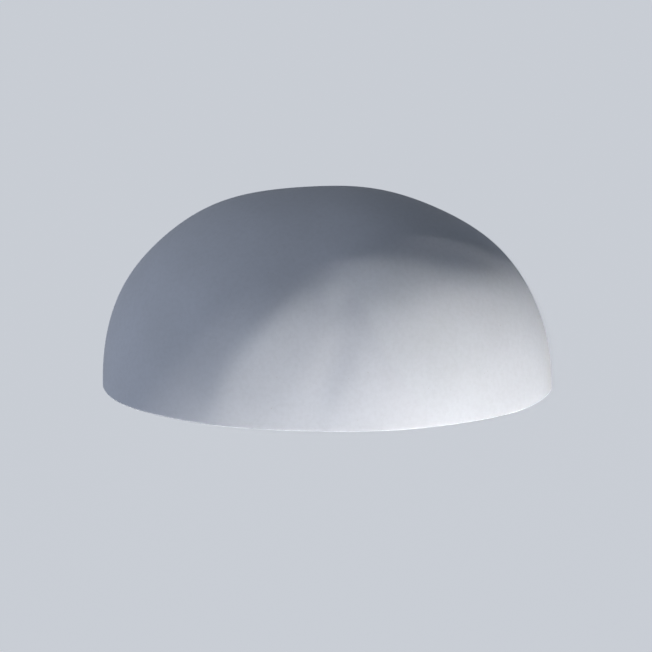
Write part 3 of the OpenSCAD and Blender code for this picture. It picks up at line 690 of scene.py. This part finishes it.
def metal(name, light, dark, rough, size, stretch=(1, 1, 1), threads=None, worn=None):
    """A plated or plain metal: tone and gloss vary with its grain, and its edges are worn.

    Its threads are (pitch, axis, from, to), in millimetres in the frame.
    """
    f = Finish(name, Metallic=1.0)
    patches = f.noise(size * PATCH_SIZE, detail=4, roughness=0.6)
    grain = f.noise(size, detail=5, roughness=0.6, stretch=stretch)
    tone = f.colours(patches, (0.32, dark), (0.62, light))
    fine = f.colours(grain, (0.25, (0.88, 0.88, 0.88)), (0.7, (1.0, 1.0, 1.0)))
    colour = f.blend(1.0, tone, fine, "MULTIPLY")
    f.set("Base Color", f.blend(f.worn_edges(*METAL_WEAR), colour, worn or light))
    mean = f.math("MULTIPLY", f.math("ADD", patches, grain), 0.5)
    f.set("Roughness", f.stretch_range(mean, 0.3, 0.7, *rough))
    layers = [(grain, 0.02), (patches, 0.03)]
    if threads:
        pitch, axis, low, high = threads
        along = f.axis(axis)
        inside = f.math("MULTIPLY",
                        f.math("GREATER_THAN", along, low * MM),
                        f.math("LESS_THAN", along, high * MM))
        layers.append((f.math("MULTIPLY", f.rings(pitch, axis), inside), THREAD_RELIEF))
    f.relief(*layers)
    return f.material


def porcelain():
    """Glazed porcelain with a few iron specks. The glaze is thin on its edges."""
    f = Finish("glazed_porcelain", IOR=1.5, Coat_Weight=0.6, Coat_Roughness=0.06)
    body = f.colours(
        f.noise(14, detail=3),
        (0.3, (0.885, 0.875, 0.845)), (0.7, (0.925, 0.918, 0.895)))
    specks = f.shares(f.cells(3.1), (0.0, 1.0), (0.035, 0.6), (0.055, 0.0))
    speckled = f.blend(f.math("MULTIPLY", specks, 0.55), body, (0.50, 0.42, 0.32))
    f.set("Base Color", f.blend(f.worn_edges(*PORCELAIN_WEAR), speckled, (0.86, 0.82, 0.75)))
    f.set("Roughness", f.shares(f.noise(4, detail=3), (0.3, 0.14), (0.7, 0.28)))
    f.relief((f.noise(5, detail=2), 0.05), (f.noise(0.9, detail=2), 0.006))
    return f.material


def opal_glass():
    """White coated glass, lit from inside. It glows most round the filament and least at the neck."""
    f = Finish("opal_glass_lit", IOR=1.5, Roughness=0.22, Subsurface_Weight=0.25,
               Subsurface_Scale=0.004, Emission_Strength=0.32)
    f.set("Base Color", f.colours(
        f.noise(9, detail=3), (0.3, (0.74, 0.69, 0.60)), (0.7, (0.80, 0.76, 0.68))))
    glow = f.stretch_range(f.axis("Z"), GLOW_STARTS * MM, GLOW_IS_FULL * MM, 0.0, 1.0)
    cloud = f.math("MULTIPLY", f.noise(12, detail=3), 0.16)
    f.set("Emission Color", f.colours(
        f.math("ADD", glow, cloud),
        (0.0, (0.30, 0.14, 0.05)), (0.45, (0.85, 0.50, 0.22)), (1.0, (1.0, 0.68, 0.36))))
    f.relief((f.noise(3.5, detail=2), 0.015))
    return f.material


def clear_glass():
    f = Finish("clear_glass", IOR=1.5, Transmission_Weight=1.0)
    f.set("Base Color", f.colours(
        f.noise(6, detail=2), (0.3, (0.88, 0.93, 0.92)), (0.7, (0.97, 0.98, 0.97))))
    f.set("Roughness", f.shares(f.noise(2.5, detail=3), (0.35, 0.02), (0.75, 0.12)))
    f.relief((f.noise(2.2, detail=2), 0.04))
    return f.material


def black_glass():
    f = Finish("black_glass", IOR=1.52, Coat_Weight=0.4, Coat_Roughness=0.05)
    f.set("Base Color", f.colours(
        f.noise(2, detail=4), (0.3, (0.012, 0.012, 0.016)), (0.75, (0.045, 0.043, 0.05))))
    f.set("Roughness", f.shares(f.noise(1.5, detail=3), (0.3, 0.06), (0.7, 0.22)))
    f.relief((f.noise(1.8, detail=2), 0.05))
    return f.material


def plastic(name, light, dark, rough, relief=0.012, soft=0.0, dust=None):
    """Moulded plastic or rubber: faint flow marks, a fine mould texture and rubbed edges."""
    f = Finish(name, IOR=1.47, Subsurface_Weight=soft, Subsurface_Scale=0.002)
    flow = f.noise(7, detail=3, roughness=0.55, distortion=0.6)
    colour = f.colours(flow, (0.3, dark), (0.7, light))
    if dust:
        dusty = f.shares(f.noise(2.6, detail=5, roughness=0.65), (0.5, 0.0), (0.78, 0.35))
        colour = f.blend(dusty, colour, dust)
    rubbed = tuple(min(1.0, tone * 1.12 + 0.012) for tone in light)
    f.set("Base Color", f.blend(f.worn_edges(*PLASTIC_WEAR), colour, rubbed))
    f.set("Roughness", f.shares(f.noise(3, detail=3), (0.3, rough[0]), (0.7, rough[1])))
    f.relief((f.noise(0.5, detail=2, roughness=0.6), relief), (flow, 0.03))
    return f.material


ZINC_LIGHT, ZINC_DARK = (0.70, 0.72, 0.75), (0.61, 0.63, 0.665)
BRASS_LIGHT, BRASS_DARK = (0.80, 0.62, 0.31), (0.56, 0.39, 0.18)
NICKEL_LIGHT, NICKEL_DARK = (0.77, 0.75, 0.70), (0.60, 0.575, 0.53)
MACHINE_PITCH = 0.7
COIL_PITCH = 0.35
STUD_THREAD = (MACHINE_PITCH, "Y", -100.0, 0.0)
CLAMP_THREAD = (MACHINE_PITCH, "Y", -17.4, -8.3)
FILAMENT_COIL = (COIL_PITCH, "X", -40.0, 40.0)

brushed_zinc = metal(
    "zinc_plated_sheet", ZINC_LIGHT, ZINC_DARK, (0.30, 0.48), 1.4, stretch=(0.12, 1, 1),
    worn=(0.80, 0.80, 0.81))
bright_zinc = metal("zinc_plated_fastener", (0.76, 0.77, 0.78), (0.60, 0.61, 0.60), (0.22, 0.38), 0.9)
zinc_thread = metal(
    "zinc_plated_stud", (0.74, 0.75, 0.76), (0.56, 0.57, 0.58), (0.24, 0.40), 0.9, threads=STUD_THREAD)
plain_brass = metal("plain_brass", BRASS_LIGHT, BRASS_DARK, (0.22, 0.40), 1.1, worn=(0.88, 0.72, 0.42))
knurled_brass = metal(
    "turned_brass", BRASS_LIGHT, BRASS_DARK, (0.20, 0.38), 1.0, threads=CLAMP_THREAD,
    worn=(0.90, 0.75, 0.45))
nickel = metal("nickel_plate", NICKEL_LIGHT, NICKEL_DARK, (0.14, 0.32), 1.0)
filament_wire = metal(
    "coiled_wire", (0.52, 0.49, 0.45), (0.34, 0.31, 0.28), (0.35, 0.5), 0.5, threads=FILAMENT_COIL)
nylon = plastic("natural_nylon", (0.89, 0.89, 0.865), (0.83, 0.83, 0.80), (0.38, 0.52), soft=0.12)
black_rubber = plastic(
    "black_rubber", (0.052, 0.051, 0.052), (0.028, 0.028, 0.029), (0.58, 0.78), relief=0.02,
    dust=(0.16, 0.155, 0.15))
brown_cover = plastic("brown_insulation", (0.25, 0.125, 0.065), (0.19, 0.09, 0.045), (0.34, 0.50))
blue_cover = plastic("blue_insulation", (0.09, 0.25, 0.55), (0.06, 0.19, 0.45), (0.34, 0.50))
green_cover = plastic("green_insulation", (0.10, 0.40, 0.12), (0.07, 0.31, 0.09), (0.34, 0.50))
yellow_cover = plastic("yellow_insulation", (0.80, 0.66, 0.08), (0.72, 0.57, 0.06), (0.34, 0.50))
ceramic = unglazed_ceramic()

FINISHES = {
    "unglazed_ceramic": ceramic,
    "zinc_steel": brushed_zinc,
    "zinc_fastener": bright_zinc,
    "porcelain": porcelain(),
    "brass": plain_brass,
    "nickel": nickel,
    "opal_glass": opal_glass(),
    "clear_glass": clear_glass(),
    "black_glass": black_glass(),
    "filament_wire": filament_wire,
    "nylon": nylon,
    "black_rubber": black_rubber,
    "brown_insulation": brown_cover,
    "blue_insulation": blue_cover,
    "earth_insulation": green_cover,
}
OWN_FINISHES = {
    "weld_studs": zinc_thread,
    "clamp_screw_left": knurled_brass,
    "clamp_screw_right": knurled_brass,
}

for name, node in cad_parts.items():
    for place in node.material_slots:
        slot_name = place.material.name.split(".")[0]
        place.material = OWN_FINISHES.get(name) or FINISHES[slot_name]


# ---------- pieces ----------

shade = build_shade()
shade.data.materials.append(ceramic)

lamp_cap = build_lamp_cap()
lamp_cap.data.materials.append(nickel)

screw_shell = build_screw_shell()
screw_shell.data.materials.append(plain_brass)

live = lead_tube("brown_lead", holder_route(-1, -1, LIVE_RISE), ("live_lead",))
live.data.materials.append(brown_cover)

neutral = lead_tube("blue_lead", holder_route(0, 1, NEUTRAL_RISE), ("neutral_lead",))
neutral.data.materials.append(blue_cover)

earth = lead_tube("striped_lead", earth_route(), ("earth_lead",))
earth.data.materials.append(green_cover)
earth.data.materials.append(yellow_cover)
for face in earth.data.polygons:
    if face.index % LEAD_SIDES in STRIPE_SIDES:
        face.material_index = 1


# ---------- camera and light ----------

CAMERA_LENS = 142.2
CAMERA_SENSOR = 36.0
CAMERA_REACH = 100.0    # metres
CAMERA_DISTANCE = 2000.0
CAMERA_RISE = 14.6
CAMERA_YAW = 3.07
CAMERA_ROLL = -0.22
AIM = Vector((-0.3, 0.0, -51.2))


def direction(azimuth, elevation):
    """From the object towards a place: azimuth 0 is the room side and 90 is the right."""
    return Vector((
        cosd(elevation) * sind(azimuth),
        -cosd(elevation) * cosd(azimuth),
        sind(elevation)))


def look_at(item, place, target):
    item.location = place * MM
    item.rotation_mode = "QUATERNION"
    item.rotation_quaternion = (target - place).to_track_quat("-Z", "Y")


camera_data = bpy.data.cameras.new("camera")
camera_data.lens = CAMERA_LENS
camera_data.sensor_width = CAMERA_SENSOR
camera_data.clip_end = CAMERA_REACH
camera = bpy.data.objects.new("camera", camera_data)
bpy.context.scene.collection.objects.link(camera)
look_at(camera, AIM + direction(CAMERA_YAW, CAMERA_RISE) * CAMERA_DISTANCE, AIM)
roll = Matrix.Rotation(math.radians(CAMERA_ROLL), 4, "Z").to_quaternion()
camera.rotation_quaternion = camera.rotation_quaternion @ roll
bpy.context.scene.camera = camera


def area_light(name, azimuth, elevation, distance, size, power, colour, spread=180.0, target=AIM):
    """A soft round lamp that faces its target, with its size in metres and its power in watts.

    A smaller spread narrows its beam, as a grid does.
    """
    data = bpy.data.lights.new(name, "AREA")
    data.spread = math.radians(spread)
    data.shape = "DISK"
    data.size = size
    data.energy = power
    data.color = colour
    item = bpy.data.objects.new(name, data)
    bpy.context.scene.collection.objects.link(item)
    look_at(item, AIM + direction(azimuth, elevation) * distance, target)
    item.visible_camera = False


KEY_TARGET = Vector((94.0, -95.0, -110.0))    # the lit pool at the lower right

area_light("key_light", 44, -39, 1600, 0.4, 0.59, (0.925, 0.94, 1.0), spread=16, target=KEY_TARGET)
area_light("left_fill", -52, 8, 1800, 1.0, 10.0, (0.67, 0.765, 1.0))
area_light("right_fill", 82, 36, 1800, 1.0, 2.6, (0.67, 0.765, 1.0))
area_light("behind", 158, -38, 1500, 0.5, 12, (0.95, 0.97, 1.0))

BACKDROP = (0.58, 0.61, 0.66)
SKY = (0.60, 0.75, 1.0)
SKY_STRENGTH = 0.055
FLOOR_TONE = (0.78, 0.79, 0.80)
FLOOR_Z = -2400.0
FLOOR_HALF = 40000.0


def seen_share(tree):
    """1 for camera, glossy and transmission rays: what the eye, metal and glass see."""
    rays = tree.nodes.new("ShaderNodeLightPath")
    first = tree.nodes.new("ShaderNodeMath")
    first.operation = "MAXIMUM"
    second = tree.nodes.new("ShaderNodeMath")
    second.operation = "MAXIMUM"
    tree.links.new(rays.outputs["Is Camera Ray"], first.inputs[0])
    tree.links.new(rays.outputs["Is Glossy Ray"], first.inputs[1])
    tree.links.new(first.outputs[0], second.inputs[0])
    tree.links.new(rays.outputs["Is Transmission Ray"], second.inputs[1])
    return second.outputs[0]


def build_world():
    """A plain backdrop for the eye, metal and glass, and a weak cool sky that lights the object."""
    world = bpy.data.worlds.new("studio")
    bpy.context.scene.world = world
    world.use_nodes = True
    tree = world.node_tree
    tree.nodes.clear()
    seen = tree.nodes.new("ShaderNodeBackground")
    seen.inputs["Color"].default_value = (*BACKDROP, 1)
    seen.inputs["Strength"].default_value = 1.0
    lit = tree.nodes.new("ShaderNodeBackground")
    lit.inputs["Color"].default_value = (*SKY, 1)
    lit.inputs["Strength"].default_value = SKY_STRENGTH
    mix = tree.nodes.new("ShaderNodeMixShader")
    output = tree.nodes.new("ShaderNodeOutputWorld")
    tree.links.new(seen_share(tree), mix.inputs["Fac"])
    tree.links.new(lit.outputs[0], mix.inputs[1])
    tree.links.new(seen.outputs[0], mix.inputs[2])
    tree.links.new(mix.outputs[0], output.inputs["Surface"])


def build_floor():
    """A plain pale floor, far below the sconce, which hangs at head height on its wall."""
    mesh = bpy.data.meshes.new("floor")
    corners = [(x * FLOOR_HALF * MM, y * FLOOR_HALF * MM, FLOOR_Z * MM)
               for x, y in ((-1, -1), (1, -1), (1, 1), (-1, 1))]
    mesh.from_pydata(corners, [], [(0, 1, 2, 3)])
    floor = bpy.data.objects.new("floor", mesh)
    bpy.context.scene.collection.objects.link(floor)
    material = bpy.data.materials.new("pale_floor")
    material.use_nodes = True
    tree = material.node_tree
    tree.nodes.clear()
    diffuse = tree.nodes.new("ShaderNodeBsdfDiffuse")
    diffuse.inputs["Color"].default_value = (*FLOOR_TONE, 1)
    # Seen directly, the floor gives off what it lacks to the backdrop's tone.
    glow = tree.nodes.new("ShaderNodeEmission")
    lacking = [b - t * k * SKY_STRENGTH for b, t, k in zip(BACKDROP, FLOOR_TONE, SKY)]
    glow.inputs["Color"].default_value = (*lacking, 1)
    tree.links.new(seen_share(tree), glow.inputs["Strength"])
    both = tree.nodes.new("ShaderNodeAddShader")
    output = tree.nodes.new("ShaderNodeOutputMaterial")
    tree.links.new(diffuse.outputs[0], both.inputs[0])
    tree.links.new(glow.outputs[0], both.inputs[1])
    tree.links.new(both.outputs[0], output.inputs["Surface"])
    mesh.materials.append(material)


build_world()
build_floor()

bpy.context.scene.view_settings.view_transform = "Standard"
